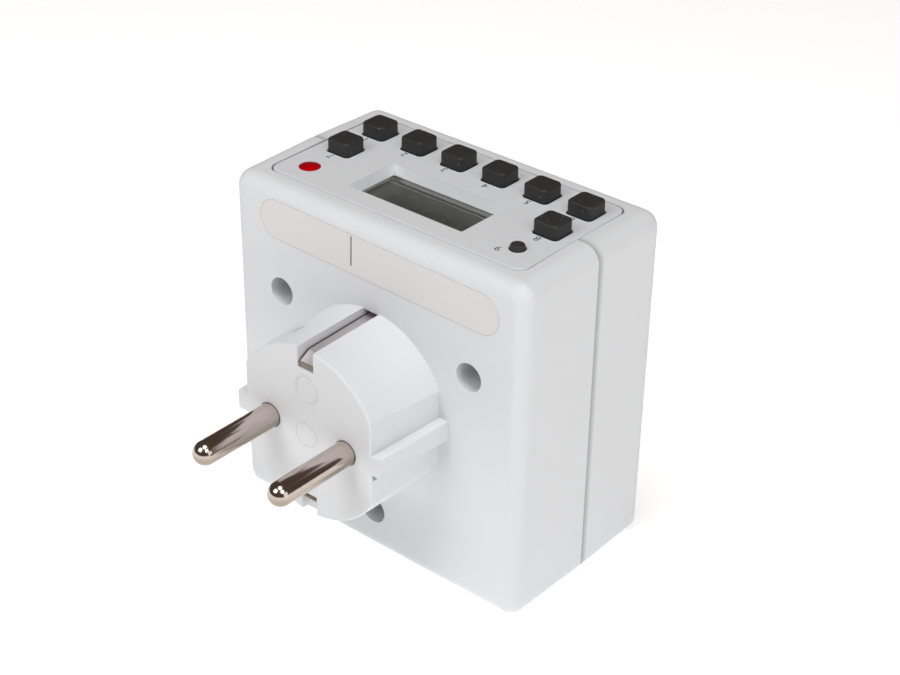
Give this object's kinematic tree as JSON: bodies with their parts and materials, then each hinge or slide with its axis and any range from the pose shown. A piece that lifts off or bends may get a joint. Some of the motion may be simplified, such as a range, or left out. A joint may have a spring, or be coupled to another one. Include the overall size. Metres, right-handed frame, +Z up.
{
  "type": "plug-in timer switch",
  "caption": "Square timer switch that plugs into a wall socket, with an earthed plug on the back, a shuttered socket in front, and keys and a display on top.",
  "frame": {"origin": "middle of the housing's base, at the rim of the rear shell where the two shells part", "axes": "+Z up through the key panel, +Y out of the socket's mouth, -Y along the plug pins"},
  "size_m": [0.072, 0.0775, 0.075],
  "materials": {
    "housing": "satin moulded white",
    "panel": "satin moulded white",
    "key": "matte dark grey",
    "reset": "matte dark grey",
    "led": "diffused red",
    "window": "clear",
    "lcd": "dark grey green",
    "white_plastic": "matte",
    "rubber": "matte silicone",
    "board": "solder mask",
    "nickel": "bright nickel plate",
    "brass": "rolled strip",
    "steel": "zinc plated",
    "black_component": "moulded",
    "coloured_component": "dipped resin",
    "ribbon": "PVC ribbon"
  },
  "bodies": {
    "body": {"rear_shell": "housing", "front_shell": "housing", "control_panel": "panel", "status_led": "led", "display_window": "window", "lcd_glass": "lcd", "lcd_frame": "white_plastic", "contact_carrier": "white_plastic", "keypad_mat": "rubber", "zebra_strips": "rubber", "control_board": "board", "power_board": "board", "plug_pin_line": "nickel", "plug_pin_neutral": "nickel", "earth_strip_upper": "nickel", "earth_strip_lower": "nickel", "line_strap": "brass", "neutral_strap": "brass", "socket_contact_line": "brass", "socket_contact_neutral": "brass", "earth_bridge": "brass", "housing_screws": "steel", "control_board_screws": "steel", "power_board_screws": "steel", "carrier_screws": "steel", "shutter_spring": "steel", "led_leads": "steel", "crystal": "steel", "backup_cell": "steel", "relay": "black_component", "rectifier": "black_component", "timer_chip": "black_component", "smoothing_capacitor": "black_component", "x2_capacitor": "coloured_component", "varistor": "coloured_component", "fuse_resistor": "coloured_component", "board_link": "ribbon"},
    "key_1": {"key_1": "key"},
    "key_2": {"key_2": "key"},
    "key_3": {"key_3": "key"},
    "key_4": {"key_4": "key"},
    "key_5": {"key_5": "key"},
    "key_6": {"key_6": "key"},
    "key_7": {"key_7": "key"},
    "key_8": {"key_8": "key"},
    "reset_button": {"reset_button": "reset"},
    "shutter": {"socket_shutter": "white_plastic"}
  },
  "joints": [
    {"name": "key_1_press", "type": "slide", "parent": "body", "child": "key_1", "axis": [0, 0, -1], "range_m": [0, 0.001], "stiffness_N_per_m": 500, "deforming": ["keypad_mat"]},
    {"name": "key_2_press", "type": "slide", "parent": "body", "child": "key_2", "axis": [0, 0, -1], "range_m": [0, 0.001], "stiffness_N_per_m": 500},
    {"name": "key_3_press", "type": "slide", "parent": "body", "child": "key_3", "axis": [0, 0, -1], "range_m": [0, 0.001], "stiffness_N_per_m": 500},
    {"name": "key_4_press", "type": "slide", "parent": "body", "child": "key_4", "axis": [0, 0, -1], "range_m": [0, 0.001], "stiffness_N_per_m": 500},
    {"name": "key_5_press", "type": "slide", "parent": "body", "child": "key_5", "axis": [0, 0, -1], "range_m": [0, 0.001], "stiffness_N_per_m": 500},
    {"name": "key_6_press", "type": "slide", "parent": "body", "child": "key_6", "axis": [0, 0, -1], "range_m": [0, 0.001], "stiffness_N_per_m": 500},
    {"name": "key_7_press", "type": "slide", "parent": "body", "child": "key_7", "axis": [0, 0, -1], "range_m": [0, 0.001], "stiffness_N_per_m": 500},
    {"name": "key_8_press", "type": "slide", "parent": "body", "child": "key_8", "axis": [0, 0, -1], "range_m": [0, 0.001], "stiffness_N_per_m": 500},
    {"name": "reset_press", "type": "slide", "parent": "body", "child": "reset_button", "axis": [0, 0, -1], "range_m": [0, 0.0006], "stiffness_N_per_m": 600},
    {"name": "shutter_turn", "type": "hinge", "parent": "body", "child": "shutter", "pos_m": [0, -0.0008, 0.0364], "axis": [0, 1, 0], "range_deg": [0, 42], "stiffness_Nm_per_rad": 0.002, "deforming": ["shutter_spring"]}
  ]
}
